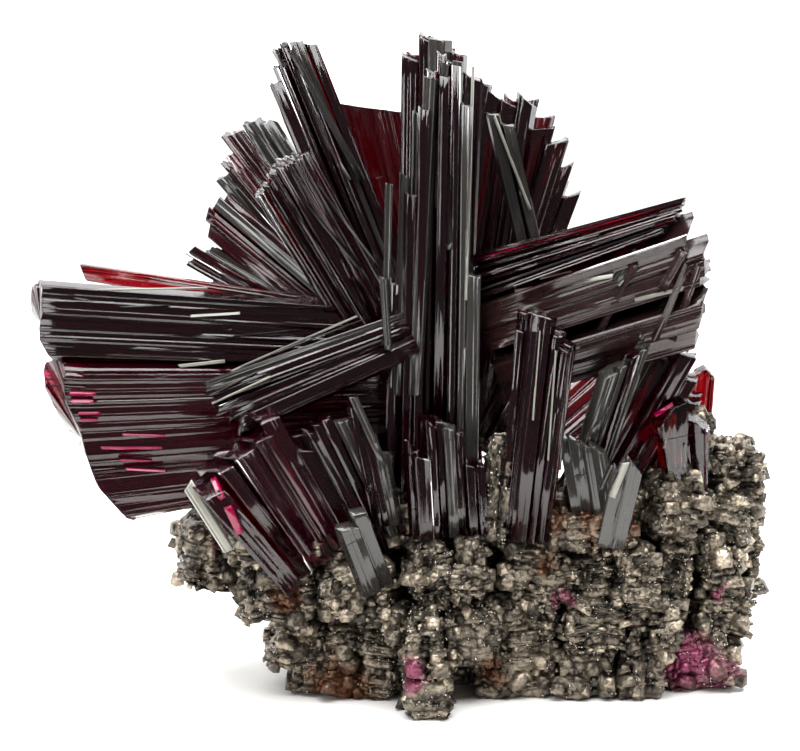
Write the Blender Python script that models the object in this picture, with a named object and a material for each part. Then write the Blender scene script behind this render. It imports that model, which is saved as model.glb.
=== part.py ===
"""Erythrite on matrix: a spray of dark striated blades on a small block of layered rock.

Sizes are in millimetres and are turned to metres when a mesh is made. +X is right,
+Y is away from the front, +Z is up. The rock rests on its flat underside at z = 0.
"""

import math
import random

import bmesh
import bpy
from mathutils import Matrix, Vector

# Driving dimensions of the whole specimen, in millimetres
MM = 0.001
GAP = 0.32
SEED = 27
BELOW_MIDDLE = (0.0, 0.0, -10.0)
BELOW_SIZE = (80.0, 80.0, 20.0)
SLACK = 0.001
FRONT = Vector((0.0, 1.0, 0.0))

# Laths of a spray. Stagger, widths and depths are shares of the spray's own sizes.
LATH_OVERLAP = 1.42
LATH_SHOULDER = 0.62
LATH_STAGGER = 0.16
LATH_WIDTHS = (0.92, 1.10)
LATH_DEPTHS = (0.80, 1.00)
END_SLANTS = (0.7, 1.3)
END_BEVEL = 0.25

# Layers of a lump of rock. Thickness is in millimetres, lean and twist in radians,
# and the others are shares of the lump's size.
LAYER = 1.25
LAYER_CORNERS = 7
LAYER_SHARES = (0.6, 1.4)
LAYER_INSETS = (0.84, 1.0)
LAYER_TWIST = 0.22
LAYER_LEAN = 0.07
LAYER_DRIFT = 0.04
LAYER_HALF = 0.54
CORNER_STRETCH = (0.84, 1.08)
CORNER_SHRINK = (0.93, 1.0)
SIDE_POWER = 0.6
AWAY_POWER = 0.7

# Colours of the pieces: red, green, blue, roughness
NEAR_BLACK = (0.020, 0.006, 0.014, 0.22)
DARK_CRIMSON = (0.085, 0.006, 0.030, 0.20)
BRIGHT_CRIMSON = (0.300, 0.008, 0.075, 0.18)
ROSE_BROWN = (0.130, 0.040, 0.050, 0.28)
SILVER_GREY = (0.260, 0.255, 0.235, 0.30)
ROCK_GREY = (0.115, 0.105, 0.090, 0.62)

# Each spray is a bundle of flat laths grown side by side. Root and tip are the ends
# of its middle line. Spread is its width at the root and at the tip, and depth its
# thickness. Ends says how far along the line each lath reaches, from the left side
# of an upright spray, from the lower side of one that points left, and from the
# upper side of one that points right. Turn rolls the spray about its line, and
# slant is the slope of the cut ends in degrees.
SPRAYS = (
    ("centre_tall_blade", NEAR_BLACK, (1.2, -3.0, 7.6), (1.5, -2.6, 25.5), (3.6, 3.3),
     2.1, (0.52, 0.75, 0.93, 1.0, 0.995, 0.96, 0.60), 4, 12),
    ("rear_tall_blade", NEAR_BLACK, (1.3, 0.6, 9.0), (1.7, 0.7, 26.3), (2.6, 3.1),
     1.8, (0.955, 1.0, 0.985, 0.96, 0.92), -8, 16),
    ("left_upper_blade", NEAR_BLACK, (-0.2, -0.9, 14.0), (-14.6, -2.0, 15.0), (2.2, 2.9),
     2.0, (0.925, 0.955, 0.985, 1.0, 0.995), 6, -24),
    ("left_lower_blade", DARK_CRIMSON, (0.4, -0.9, 10.6), (-13.8, -2.3, 9.9), (4.4, 6.5),
     2.2, (0.72, 0.80, 0.87, 0.94, 0.98, 1.0, 1.0), -5, -28),
    ("right_block_blade", ROSE_BROWN, (3.6, -1.3, 13.9), (12.5, -2.6, 16.9), (3.8, 4.3),
     2.8, (0.97, 1.0, 0.975, 0.94, 0.885), 10, 20),
    ("right_upper_bundle", NEAR_BLACK, (3.1, -2.4, 16.6), (11.3, -3.4, 19.3), (2.0, 1.1),
     1.6, (1.0, 0.985, 0.93, 0.88), -12, 22),
    ("upper_left_blade", NEAR_BLACK, (0.6, 0.9, 12.6), (-4.8, 1.7, 25.9), (1.9, 2.2),
     1.7, (0.90, 0.985, 1.0, 0.97), 14, 15),
    ("mid_left_blade", NEAR_BLACK, (0.2, -0.9, 12.2), (-5.0, -1.9, 21.2), (2.0, 2.5),
     1.9, (0.93, 0.97, 1.0, 0.98), -16, 25),
    ("rear_left_slab", DARK_CRIMSON, (1.0, 3.9, 12.5), (-1.9, 4.4, 24.0), (3.8, 5.6),
     1.5, (1.06, 1.035, 0.985, 0.93, 0.885), 7, 12),
    ("comb_inner_blade", NEAR_BLACK, (2.4, 2.9, 11.0), (4.4, 3.4, 24.3), (2.2, 2.4),
     1.7, (1.0, 0.955, 0.985), -6, 28),
    ("comb_outer_blade", NEAR_BLACK, (3.6, 3.6, 12.4), (6.6, 4.4, 22.4), (2.0, 3.6),
     1.8, (1.09, 1.03, 0.92, 0.80), 5, -24),
    ("needle_blade", NEAR_BLACK, (5.7, 0.9, 15.6), (3.9, 0.4, 23.1), (0.9, 0.8),
     0.7, (1.0, 0.93), 0, 30),
    ("fan_upper_blade", DARK_CRIMSON, (-0.9, 2.9, 14.0), (-7.3, 4.8, 22.4), (1.7, 3.4),
     1.4, (0.86, 0.95, 1.0, 0.99, 0.94), -8, 22),
    ("fan_middle_blade", DARK_CRIMSON, (-1.3, 2.0, 13.6), (-8.2, 4.1, 19.2), (1.5, 2.0),
     1.3, (0.93, 1.0, 0.96), 9, -20),
    ("fan_lower_blade", NEAR_BLACK, (-1.8, 1.9, 13.2), (-9.0, 3.4, 17.2), (1.2, 1.5),
     1.2, (0.97, 1.0), -4, 18),
    ("left_thin_blade", BRIGHT_CRIMSON, (-2.4, 0.9, 14.9), (-13.1, 1.4, 16.5), (0.9, 0.7),
     0.9, (1.0, 0.97), 3, 26),
    ("diagonal_rods", NEAR_BLACK, (0.4, -3.4, 14.6), (-7.4, -4.3, 11.6), (1.4, 2.3),
     1.2, (0.93, 0.98, 1.0), 12, 20),
    ("left_front_stub", DARK_CRIMSON, (-3.6, -3.9, 5.6), (-6.7, -5.6, 10.7), (3.2, 4.6),
     2.3, (0.93, 1.0, 0.97, 1.03), 26, 14),
    ("left_inner_rods", NEAR_BLACK, (-0.6, -3.6, 6.0), (-3.3, -4.6, 11.8), (2.0, 2.6),
     1.6, (0.92, 1.0, 0.88), 8, 24),
    ("front_small_laths", SILVER_GREY, (-0.5, -4.4, 7.2), (-1.5, -4.9, 12.2), (1.1, 1.2),
     0.8, (1.0, 0.86, 0.66), -6, 34),
    ("front_low_tier", NEAR_BLACK, (1.9, -4.4, 6.8), (1.6, -4.9, 11.9), (3.0, 2.9),
     1.2, (0.82, 1.0, 0.93, 0.70), 4, 28),
    ("right_front_rods", NEAR_BLACK, (4.8, -4.1, 6.6), (5.7, -5.0, 15.9), (1.9, 2.3),
     1.5, (0.97, 1.0, 0.93, 0.86), -10, 16),
    ("right_lean_blade", SILVER_GREY, (6.9, -2.9, 7.2), (9.0, -4.2, 14.6), (1.3, 1.4),
     1.0, (0.86, 1.0), 12, -30),
    ("right_base_laths", SILVER_GREY, (7.7, -3.9, 6.6), (6.9, -4.3, 11.0), (1.5, 1.6),
     0.8, (1.0, 0.90), -14, 30),
    ("right_white_laths", SILVER_GREY, (8.1, -4.7, 6.4), (8.8, -5.3, 10.2), (1.1, 1.1),
     0.6, (0.86, 1.0), 8, 32),
    ("right_low_blade", DARK_CRIMSON, (7.9, -0.9, 7.2), (11.5, -1.4, 14.0), (3.0, 3.1),
     2.0, (0.93, 1.0, 0.92, 0.80), 6, -18),
    ("right_gem", BRIGHT_CRIMSON, (10.9, -3.0, 8.0), (10.4, -3.9, 11.9), (0.7, 1.5),
     1.0, (0.86, 1.0), 18, 22),
    ("right_gem_small", SILVER_GREY, (11.9, -2.2, 8.0), (11.6, -3.0, 11.3), (0.7, 1.1),
     0.8, (1.0, 0.93), -12, -24),
    ("right_pink_tip", BRIGHT_CRIMSON, (12.0, 0.9, 7.8), (12.4, 0.4, 12.7), (1.2, 0.9),
     1.0, (1.0, 0.95), 0, -20),
    ("lower_left_chip", SILVER_GREY, (-0.8, -4.8, 4.8), (-1.9, -6.2, 8.1), (1.4, 1.3),
     0.7, (0.90, 1.0), 20, 24),
    ("back_centre_blade", NEAR_BLACK, (1.2, 3.6, 8.4), (0.9, 9.0, 21.2), (3.0, 3.2),
     1.8, (0.86, 0.97, 1.0, 0.94), 5, 18),
    ("back_left_blade", NEAR_BLACK, (0.2, 3.6, 9.4), (-6.2, 9.8, 16.8), (2.2, 3.0),
     1.8, (0.90, 1.0, 0.95), -12, 20),
    ("back_right_blade", NEAR_BLACK, (3.2, 3.8, 9.2), (8.0, 9.4, 17.2), (2.4, 3.0),
     1.8, (0.93, 1.0, 0.90), 10, 22),
    ("back_low_left_blade", DARK_CRIMSON, (-0.6, 3.8, 7.8), (-9.0, 8.8, 11.4), (2.0, 2.8),
     1.8, (0.86, 1.0, 0.97), 4, 18),
    ("back_low_right_blade", DARK_CRIMSON, (5.2, 4.0, 8.2), (11.6, 8.4, 12.8), (1.8, 2.4),
     1.6, (1.0, 0.94, 0.84), -6, 20),
    ("back_stub", NEAR_BLACK, (2.4, 5.4, 6.4), (2.2, 10.6, 12.8), (2.4, 2.6),
     1.5, (0.88, 1.0, 0.90), 8, 24),
)

# Each lump of rock is a stack of layers about a middle point: name, middle, size
# along X, Y and Z, heading in degrees, dip of the layers in degrees.
LUMPS = (
    ("heart", (4.0, 1.2, 3.1), (15.4, 9.6, 6.85), 0, 0),
    ("left_heart", (-1.4, 0.6, 3.9), (8.6, 8.4, 5.2), 8, 4),
    ("right_heart", (11.4, 1.4, 4.6), (5.4, 7.0, 8.2), -4, -6),
    ("left_shelf", (-3.6, -2.3, 5.9), (6.0, 4.4, 1.2), 5, -3),
    ("left_upper_block", (-4.8, -2.6, 4.1), (3.4, 4.4, 2.6), 6, 4),
    ("left_middle_block", (-1.7, -3.0, 4.2), (2.9, 4.2, 2.4), -7, -3),
    ("left_lower_block", (-2.9, -1.9, 2.0), (4.2, 4.4, 2.0), 10, 6),
    ("left_foot_block", (-0.6, -3.0, 0.9), (3.4, 4.2, 2.0), -5, 4),
    ("left_far_block", (-7.0, 0.4, 5.0), (3.0, 3.2, 2.4), 14, 8),
    ("bright_block", (1.9, -4.1, 4.7), (3.4, 3.0, 2.5), 3, -2),
    ("front_knee_block", (1.2, -5.2, 2.9), (2.3, 3.0, 1.6), -6, 3),
    ("front_foot_block", (1.1, -5.5, 1.0), (2.0, 3.0, 2.4), 12, 0),
    ("centre_top_ledge", (5.9, -2.7, 6.2), (5.6, 3.8, 1.5), -3, 4),
    ("centre_face_block", (5.2, -2.6, 4.2), (4.4, 3.0, 2.8), 5, -4),
    ("centre_low_block", (5.1, -2.0, 1.5), (5.2, 2.8, 3.0), -4, 2),
    ("right_face_block", (8.6, -2.9, 4.5), (3.8, 3.4, 3.6), -8, 5),
    ("right_low_block", (8.8, -1.8, 1.5), (3.8, 3.4, 3.0), 6, -3),
    ("right_pale_block", (10.4, -2.7, 6.4), (3.0, 3.2, 2.6), 14, 8),
    ("right_upper_block", (13.3, -0.7, 7.3), (3.2, 4.6, 3.6), 6, -5),
    ("right_side_block", (13.1, -0.9, 4.2), (3.4, 4.8, 3.4), -5, 3),
    ("right_foot_block", (11.6, -0.5, 1.6), (3.4, 4.2, 3.0), 4, -8),
    ("right_top_knob", (12.1, 1.0, 9.0), (1.7, 2.2, 2.4), 10, 0),
    ("crystal_seat", (2.6, -1.0, 6.8), (8.4, 6.0, 1.8), 0, 3),
    ("back_ledge", (3.2, 6.6, 3.6), (10.5, 5.4, 3.4), -3, -4),
    ("back_foot", (1.8, 6.4, 1.1), (8.6, 4.6, 2.2), 5, 2),
    ("back_right_block", (9.2, 6.0, 4.4), (5.4, 4.8, 4.6), 10, 5),
    ("back_left_block", (-3.4, 5.0, 4.4), (4.8, 5.0, 3.6), -10, -5),
    ("back_seat", (3.0, 4.8, 6.4), (7.8, 5.0, 2.2), 6, -3),
)

# The small rounded knob of ore that stands on the seat in front of the blades
KNOB_FOOT = Vector((3.7, -4.6, 6.4))
KNOB_TOP = Vector((3.8, -4.2, 10.6))
KNOB_RADIUS = 0.95
KNOB_CORNERS = 7
KNOB_DEPTH = 0.85
KNOB_CAP = 0.25
KNOB_STRETCH = (0.85, 1.10)
KNOB_RINGS = ((0.0, 0.62), (0.45, 0.95), (0.80, 1.0), (1.0, 0.55))

# Cracks and pits: middle, size along X, Y and Z, heading, lean in degrees
CRACKS = (
    ((11.7, -3.1, 5.0), (0.30, 2.4, 6.4), 8, 4),
    ((-3.3, -4.9, 4.3), (0.28, 1.8, 2.2), -6, 6),
    ((3.9, -4.9, 4.0), (0.42, 2.6, 3.0), 12, -4),
    ((6.9, -4.3, 3.4), (1.5, 1.4, 0.5), 0, 8),
    ((9.3, -4.9, 2.8), (0.9, 1.8, 0.7), 20, -10),
    ((-1.0, -5.4, 2.8), (2.6, 2.0, 0.32), 0, 5),
    ((6.3, 8.6, 3.8), (0.40, 2.4, 4.6), 10, 0),
    ((-1.8, 7.6, 4.2), (0.36, 2.0, 3.8), -14, 6),
    ((15.2, 1.6, 4.6), (2.2, 0.32, 5.2), 6, 0),
    ((13.0, -2.9, 3.1), (3.0, 1.4, 0.34), 0, -6),
    ((-3.4, -5.2, 5.3), (6.4, 1.6, 0.26), 4, -3),
)


def clear_scene():
    """Removes whatever the file opened with."""
    for thing in list(bpy.data.objects):
        bpy.data.objects.remove(thing, do_unlink=True)


def plain_material(name, finish):
    """A Principled material from red, green, blue and roughness."""
    material = bpy.data.materials.new(name)
    material.use_nodes = True
    shader = material.node_tree.nodes["Principled BSDF"]
    shader.inputs["Base Color"].default_value = (*finish[:3], 1.0)
    shader.inputs["Roughness"].default_value = finish[3]
    shader.inputs["Metallic"].default_value = 0.0
    return material


def hull_mesh(points):
    """The convex solid around points given in millimetres, as a bmesh."""
    shape = bmesh.new()
    for point in points:
        shape.verts.new(point)
    made = bmesh.ops.convex_hull(shape, input=shape.verts)
    loose = [v for v in made["geom_interior"] if isinstance(v, bmesh.types.BMVert)]
    bmesh.ops.delete(shape, geom=loose, context="VERTS")
    bmesh.ops.recalc_face_normals(shape, faces=shape.faces)
    return shape


def add_object(name, shape, group=None):
    """Turns a bmesh into an object in a collection and frees the bmesh."""
    mesh = bpy.data.meshes.new(name)
    shape.to_mesh(mesh)
    shape.free()
    thing = bpy.data.objects.new(name, mesh)
    (group or bpy.context.scene.collection).objects.link(thing)
    return thing


def volume_if_closed(mesh):
    """Volume inside a mesh, or None where it is empty or an edge doesn't join two faces."""
    shape = bmesh.new()
    shape.from_mesh(mesh)
    closed = all(len(edge.link_faces) == 2 for edge in shape.edges)
    volume = shape.calc_volume(signed=True) if shape.faces and closed else None
    shape.free()
    return volume


def boolean_result(base, group, operation, solver):
    """The mesh that a Boolean of base with every object in a collection gives."""
    step = base.modifiers.new("join", "BOOLEAN")
    step.operation = operation
    step.operand_type = "COLLECTION"
    step.collection = group
    step.solver = solver
    graph = bpy.context.evaluated_depsgraph_get()
    result = bpy.data.meshes.new_from_object(base.evaluated_get(graph))
    base.modifiers.clear()
    return result


def combine(base, shapes, operation):
    """Joins shapes to base, or cuts them out of it, in one step."""
    group = bpy.data.collections.new("operands")
    bpy.context.scene.collection.children.link(group)
    for shape in shapes:
        add_object("operand", shape, group)
    before = volume_if_closed(base.data)
    result = boolean_result(base, group, operation, "EXACT")
    after = volume_if_closed(result)
    grown = after is not None and after >= before * (1 - SLACK)
    shrunk = after is not None and after <= before * (1 + SLACK)
    if not (grown if operation == "UNION" else shrunk):
        bpy.data.meshes.remove(result)
        result = boolean_result(base, group, operation, "MANIFOLD")
    old = base.data
    base.data = result
    bpy.data.meshes.remove(old)
    for thing in list(group.objects):
        bpy.data.objects.remove(thing, do_unlink=True)
    bpy.data.collections.remove(group)


def union_of(name, shapes):
    """One object that holds every shape joined."""
    base = add_object(name, shapes[0])
    if len(shapes) > 1:
        combine(base, shapes[1:], "UNION")
    return base


def spray_axes(root, tip, turn):
    """The line of a spray, its width direction and its depth direction."""
    line = (tip - root).normalized()
    across = FRONT.cross(line).normalized()
    across.rotate(Matrix.Rotation(math.radians(turn), 3, line))
    return line, across, line.cross(across)


def lath_points(root, tip, across, inward, width, depth, slope, grow):
    """Corners of a six-sided lath with a slanted end, made larger by grow all round."""
    half_width = width / 2 + grow
    half_depth = depth / 2 + grow
    shoulder = half_width * LATH_SHOULDER
    outline = (
        (-half_width, 0.0), (-shoulder, -half_depth), (shoulder, -half_depth),
        (half_width, 0.0), (shoulder, half_depth), (-shoulder, half_depth),
    )
    line = (tip - root).normalized()
    foot = root - line * grow
    head = tip + line * grow
    points = []
    for side, out in outline:
        offset = across * side + inward * out
        points.append(foot + offset)
        points.append(head + offset - line * (side * slope + abs(out) * END_BEVEL))
    return points


def spray_laths(row, draw):
    """Settings of each lath in a spray, side by side from one edge to the other."""
    root, tip = Vector(row[2]), Vector(row[3])
    (narrow, wide), depth, ends, turn, slant = row[4:]
    _, across, inward = spray_axes(root, tip, turn)
    count = len(ends)
    laths = []
    for index, reach in enumerate(ends):
        place = (index + 0.5) / count - 0.5
        shift = inward * draw.uniform(-LATH_STAGGER, LATH_STAGGER) * depth
        low = root + across * place * narrow + shift
        high = tip + across * place * wide + shift
        high = low + (high - low) * reach
        width = wide / count * LATH_OVERLAP * draw.uniform(*LATH_WIDTHS)
        thick = depth * draw.uniform(*LATH_DEPTHS)
        slope = math.tan(math.radians(slant * draw.uniform(*END_SLANTS)))
        laths.append((low, high, across, inward, width, thick, slope))
    return laths


def lump_layers(row, draw, grow):
    """Layers of one lump of rock: irregular slabs stacked along its dip."""
    middle, size, heading, dip = Vector(row[1]), row[2], row[3], row[4]
    turn = Matrix.Rotation(math.radians(heading), 3, "Z")
    turn = turn @ Matrix.Rotation(math.radians(dip), 3, "Y")
    count = max(1, round(size[2] / LAYER))
    shares = [draw.uniform(*LAYER_SHARES) for _ in range(count)]
    rise = size[2] / sum(shares)
    base = -size[2] / 2
    solids = []
    for share in shares:
        inset = draw.uniform(*LAYER_INSETS)
        twist = draw.uniform(-LAYER_TWIST, LAYER_TWIST)
        lean = Matrix.Rotation(draw.uniform(-LAYER_LEAN, LAYER_LEAN), 3, "X")
        drift = Vector((draw.uniform(-LAYER_DRIFT, LAYER_DRIFT) * size[0],
                        draw.uniform(-LAYER_DRIFT, LAYER_DRIFT) * size[1], 0.0))
        points = []
        for corner in range(LAYER_CORNERS):
            stretch = inset * draw.uniform(*CORNER_STRETCH)
            angle = 2 * math.pi * (corner + 0.5) / LAYER_CORNERS + twist
            side = math.copysign(abs(math.cos(angle)) ** SIDE_POWER, math.cos(angle))
            away = math.copysign(abs(math.sin(angle)) ** AWAY_POWER, math.sin(angle))
            x = side * size[0] / 2 * stretch
            y = away * size[1] / 2 * stretch
            flare = Vector((math.copysign(grow, x), math.copysign(grow, y), 0.0))
            for end in (-1, 1):
                shrink = draw.uniform(*CORNER_SHRINK)
                half = rise * share * LAYER_HALF + grow
                z = base + rise * share / 2 + end * half
                spot = Vector((x * shrink, y * shrink, z)) + flare + drift
                points.append(middle + turn @ (lean @ spot))
        base += rise * share
        solids.append(points)
    return solids


def knob_points(grow):
    """The rounded knob: three uneven rings from its foot to its top."""
    draw = random.Random(SEED + 5)
    points = []
    for share, girth in KNOB_RINGS:
        centre = KNOB_FOOT.lerp(KNOB_TOP, share)
        for step in range(KNOB_CORNERS):
            angle = 2 * math.pi * step / KNOB_CORNERS
            reach = KNOB_RADIUS * girth * draw.uniform(*KNOB_STRETCH) + grow
            side = Vector((math.cos(angle), math.sin(angle) * KNOB_DEPTH, 0.0))
            points.append(centre + side * reach)
    points.append(KNOB_TOP + Vector((0.0, 0.0, KNOB_CAP + grow)))
    return points


def box_points(middle, size, heading, lean):
    """Corners of a box turned by heading and lean degrees."""
    turn = Matrix.Rotation(math.radians(heading), 3, "Z")
    turn = turn @ Matrix.Rotation(math.radians(lean), 3, "Y")
    points = []
    for i in (-0.5, 0.5):
        for j in (-0.5, 0.5):
            for k in (-0.5, 0.5):
                corner = Vector((i * size[0], j * size[1], k * size[2]))
                points.append(Vector(middle) + turn @ corner)
    return points


def rock_points(grow):
    """Corners of every solid of the rock, each made larger by grow."""
    draw = random.Random(SEED)
    solids = [layer for row in LUMPS for layer in lump_layers(row, draw, grow)]
    solids.append(knob_points(grow))
    return solids


def make_rock():
    """The layered rock with its cracks, resting on a flat underside."""
    rock = union_of("matrix", [hull_mesh(points) for points in rock_points(0.0)])
    cuts = [hull_mesh(box_points(*crack)) for crack in CRACKS]
    cuts.append(hull_mesh(box_points(BELOW_MIDDLE, BELOW_SIZE, 0, 0)))
    combine(rock, cuts, "DIFFERENCE")
    keep_largest(rock)
    return rock


def keep_largest(thing):
    """Leaves the largest joined body of a mesh and drops loose chips."""
    shape = bmesh.new()
    shape.from_mesh(thing.data)
    left = set(shape.verts)
    islands = []
    while left:
        front = [left.pop()]
        island = set(front)
        while front:
            vertex = front.pop()
            for edge in vertex.link_edges:
                other = edge.other_vert(vertex)
                if other in left:
                    left.discard(other)
                    island.add(other)
                    front.append(other)
        islands.append(island)
    if len(islands) > 1:
        sizes = [island_volume(island) for island in islands]
        keep = sizes.index(max(sizes))
        drop = [v for i, island in enumerate(islands) if i != keep for v in island]
        bmesh.ops.delete(shape, geom=drop, context="VERTS")
    shape.to_mesh(thing.data)
    shape.free()


def island_volume(island):
    """Volume of the closed surface that a set of vertices carries."""
    faces = {face for vertex in island for face in vertex.link_faces}
    total = 0.0
    for face in faces:
        first, *others = (vertex.co for vertex in face.verts)
        for second, third in zip(others, others[1:]):
            total += first.dot(second.cross(third)) / 6
    return total


def bounds_of(points):
    """Lowest and highest corner of some points."""
    low = Vector([min(p[axis] for p in points) for axis in range(3)])
    high = Vector([max(p[axis] for p in points) for axis in range(3)])
    return low, high


def boxes_meet(first, second):
    """Says whether two boxes overlap."""
    return all(
        first[0][axis] <= second[1][axis] and second[0][axis] <= first[1][axis]
        for axis in range(3)
    )


def make_sprays():
    """Every spray, cut back by GAP from the sprays before it and from the rock."""
    draw = random.Random(SEED + 1)
    made = []
    sockets = [(points, bounds_of(points)) for points in rock_points(GAP)]
    for row in SPRAYS:
        laths = spray_laths(row, draw)
        spray = union_of(row[0], [hull_mesh(lath_points(*lath, 0.0)) for lath in laths])
        reach = bounds_of([v.co for v in spray.data.vertices])
        near = [points for points, room in sockets if boxes_meet(reach, room)]
        if near:
            combine(spray, [hull_mesh(points) for points in near], "DIFFERENCE")
        keep_largest(spray)
        for lath in laths:
            points = lath_points(*lath, GAP)
            sockets.append((points, bounds_of(points)))
        made.append((spray, row[1]))
    return made


def finish_object(thing, finish, shift):
    """Moves a piece into the model's frame in metres and gives it its material."""
    thing.data.transform(Matrix.Scale(MM, 4) @ Matrix.Translation(shift))
    thing.data.update()
    thing.data.materials.clear()
    thing.data.materials.append(plain_material(thing.name, finish))


def main():
    """Builds the specimen with its origin under the middle of its box."""
    clear_scene()
    pieces = make_sprays()
    pieces.append((make_rock(), ROCK_GREY))
    low, high = bounds_of([v.co for thing, _ in pieces for v in thing.data.vertices])
    shift = Vector((-(low.x + high.x) / 2, -(low.y + high.y) / 2, -low.z))
    for thing, finish in pieces:
        finish_object(thing, finish, shift)


main()
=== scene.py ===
"""Looks of a spray of dark crimson erythrite blades on a block of layered ore rock.

Lengths are in millimetres in the maker's own frame (+X right, +Y away from the front,
+Z up) and are moved by PLACE and turned to metres when a mesh is made.
"""

import math

import bpy
import numpy as np
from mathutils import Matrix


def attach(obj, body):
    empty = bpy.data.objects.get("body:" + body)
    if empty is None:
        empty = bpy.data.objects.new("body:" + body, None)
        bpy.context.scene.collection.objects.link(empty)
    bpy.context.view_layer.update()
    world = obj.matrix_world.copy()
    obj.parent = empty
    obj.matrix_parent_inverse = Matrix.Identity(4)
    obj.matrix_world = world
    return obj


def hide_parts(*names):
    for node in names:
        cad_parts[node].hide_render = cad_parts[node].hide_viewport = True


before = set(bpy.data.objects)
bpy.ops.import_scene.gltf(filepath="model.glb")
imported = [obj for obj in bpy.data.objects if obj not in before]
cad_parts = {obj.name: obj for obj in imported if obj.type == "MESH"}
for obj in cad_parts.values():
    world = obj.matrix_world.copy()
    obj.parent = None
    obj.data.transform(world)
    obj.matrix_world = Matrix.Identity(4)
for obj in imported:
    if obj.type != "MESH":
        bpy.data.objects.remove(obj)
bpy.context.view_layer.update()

MM = 0.001
PLACE = np.array((-0.0178, -1.9878, 0.0))
FRONT = np.array((0.0, 1.0, 0.0))
UP = np.array((0.0, 0.0, 1.0))


def linear(hex_colour):
    """An sRGB hex colour as linear red, green, blue and alpha."""
    parts = np.array([int(hex_colour[i:i + 2], 16) for i in (0, 2, 4)]) / 255
    low = parts / 12.92
    high = ((parts + 0.055) / 1.055) ** 2.4
    return (*np.where(parts <= 0.04045, low, high), 1.0)


def node(tree, kind, settings=None, links=None):
    """Adds a shader node, sets its properties or sockets, and links outputs to its inputs."""
    made = tree.nodes.new(kind)
    for key, value in (settings or {}).items():
        if isinstance(key, str) and hasattr(made, key):
            setattr(made, key, value)
        else:
            made.inputs[key].default_value = value
    for key, source in (links or {}).items():
        tree.links.new(source, made.inputs[key])
    return made


def blank_material(name):
    """A material with an empty node tree and its output node."""
    material = bpy.data.materials.new(name)
    material.use_nodes = True
    tree = material.node_tree
    tree.nodes.clear()
    return material, tree, tree.nodes.new("ShaderNodeOutputMaterial")


def crystal(name, tint, roughness, deep, density, transmission=1.0, gloss=0.5):
    """Grown erythrite: glassy blades that soak up all but deep red within a millimetre."""
    material, tree, output = blank_material(name)
    along = node(tree, "ShaderNodeUVMap", {"uv_map": "growth"})
    streak = node(tree, "ShaderNodeMapping", {"Scale": (14.0, 0.55, 1.0)},
                  {"Vector": along.outputs["UV"]})
    lines = node(tree, "ShaderNodeTexNoise", {"Scale": 1.0, "Detail": 3.0},
                 {"Vector": streak.outputs["Vector"]})
    spot = node(tree, "ShaderNodeMapping", {"Scale": (5.0, 2.2, 1.0)},
                {"Vector": along.outputs["UV"]})
    etch = node(tree, "ShaderNodeTexNoise", {"Scale": 1.0, "Detail": 4.0},
                {"Vector": spot.outputs["Vector"]})
    rough = node(tree, "ShaderNodeMapRange",
                 {"To Min": roughness * 0.6, "To Max": roughness * 1.7},
                 {"Value": etch.outputs["Fac"]})
    relief = node(tree, "ShaderNodeBump", {"Strength": 0.15, "Distance": 0.02 * MM},
                  {"Height": lines.outputs["Fac"]})
    shader = node(tree, "ShaderNodeBsdfPrincipled",
                  {"Base Color": linear(tint), "IOR": 1.63,
                   "Transmission Weight": transmission, "Specular IOR Level": gloss},
                  {"Roughness": rough.outputs["Result"],
                   "Normal": relief.outputs["Normal"]})
    soak = node(tree, "ShaderNodeVolumeAbsorption",
                {"Color": linear(deep), "Density": density})
    tree.links.new(shader.outputs["BSDF"], output.inputs["Surface"])
    tree.links.new(soak.outputs["Volume"], output.inputs["Volume"])
    return material


BLACK_CRYSTAL = crystal("erythrite_near_black_blades", "b02858", 0.08, "ee00c0", 24000.0, 0.988)
CRIMSON_CRYSTAL = crystal("erythrite_dark_crimson_blades", "c82860", 0.09, "ee00c4", 19000.0,
                          0.98)
BRIGHT_CRYSTAL = crystal("erythrite_bright_crimson_blades", "e06890", 0.10, "ee00c8", 13000.0)
ROSE_CRYSTAL = crystal("erythrite_rose_brown_blades", "5a3838", 0.20, "ee00c0", 18000.0, 0.7)
# Painted reflection: a grey base colour stands in for the soft lamp mirrored by faces turned
# towards it, so these faces look grey from every side.
PAINTED_SHEEN_CRYSTAL = crystal("erythrite_painted_grey_reflection_blades", "3c3936", 0.16, "ee00c0", 24000.0, 0.3)
# Painted highlight: a pale grey-white base colour stands in for bright reflections of the lamps on
# narrow faces.
PAINTED_HIGHLIGHT_CRYSTAL = crystal("erythrite_painted_highlight_faces", "a4a298", 0.20, "ee00c0", 24000.0, 0.1)
# Painted glow: a hot magenta base colour, lit from the front, stands in for light coming back
# magenta from inside a blade.
PAINTED_GLOW_CRYSTAL = crystal("erythrite_painted_magenta_glow", "b4004c", 0.12, "ee00c8", 4000.0, 0.45)


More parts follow.
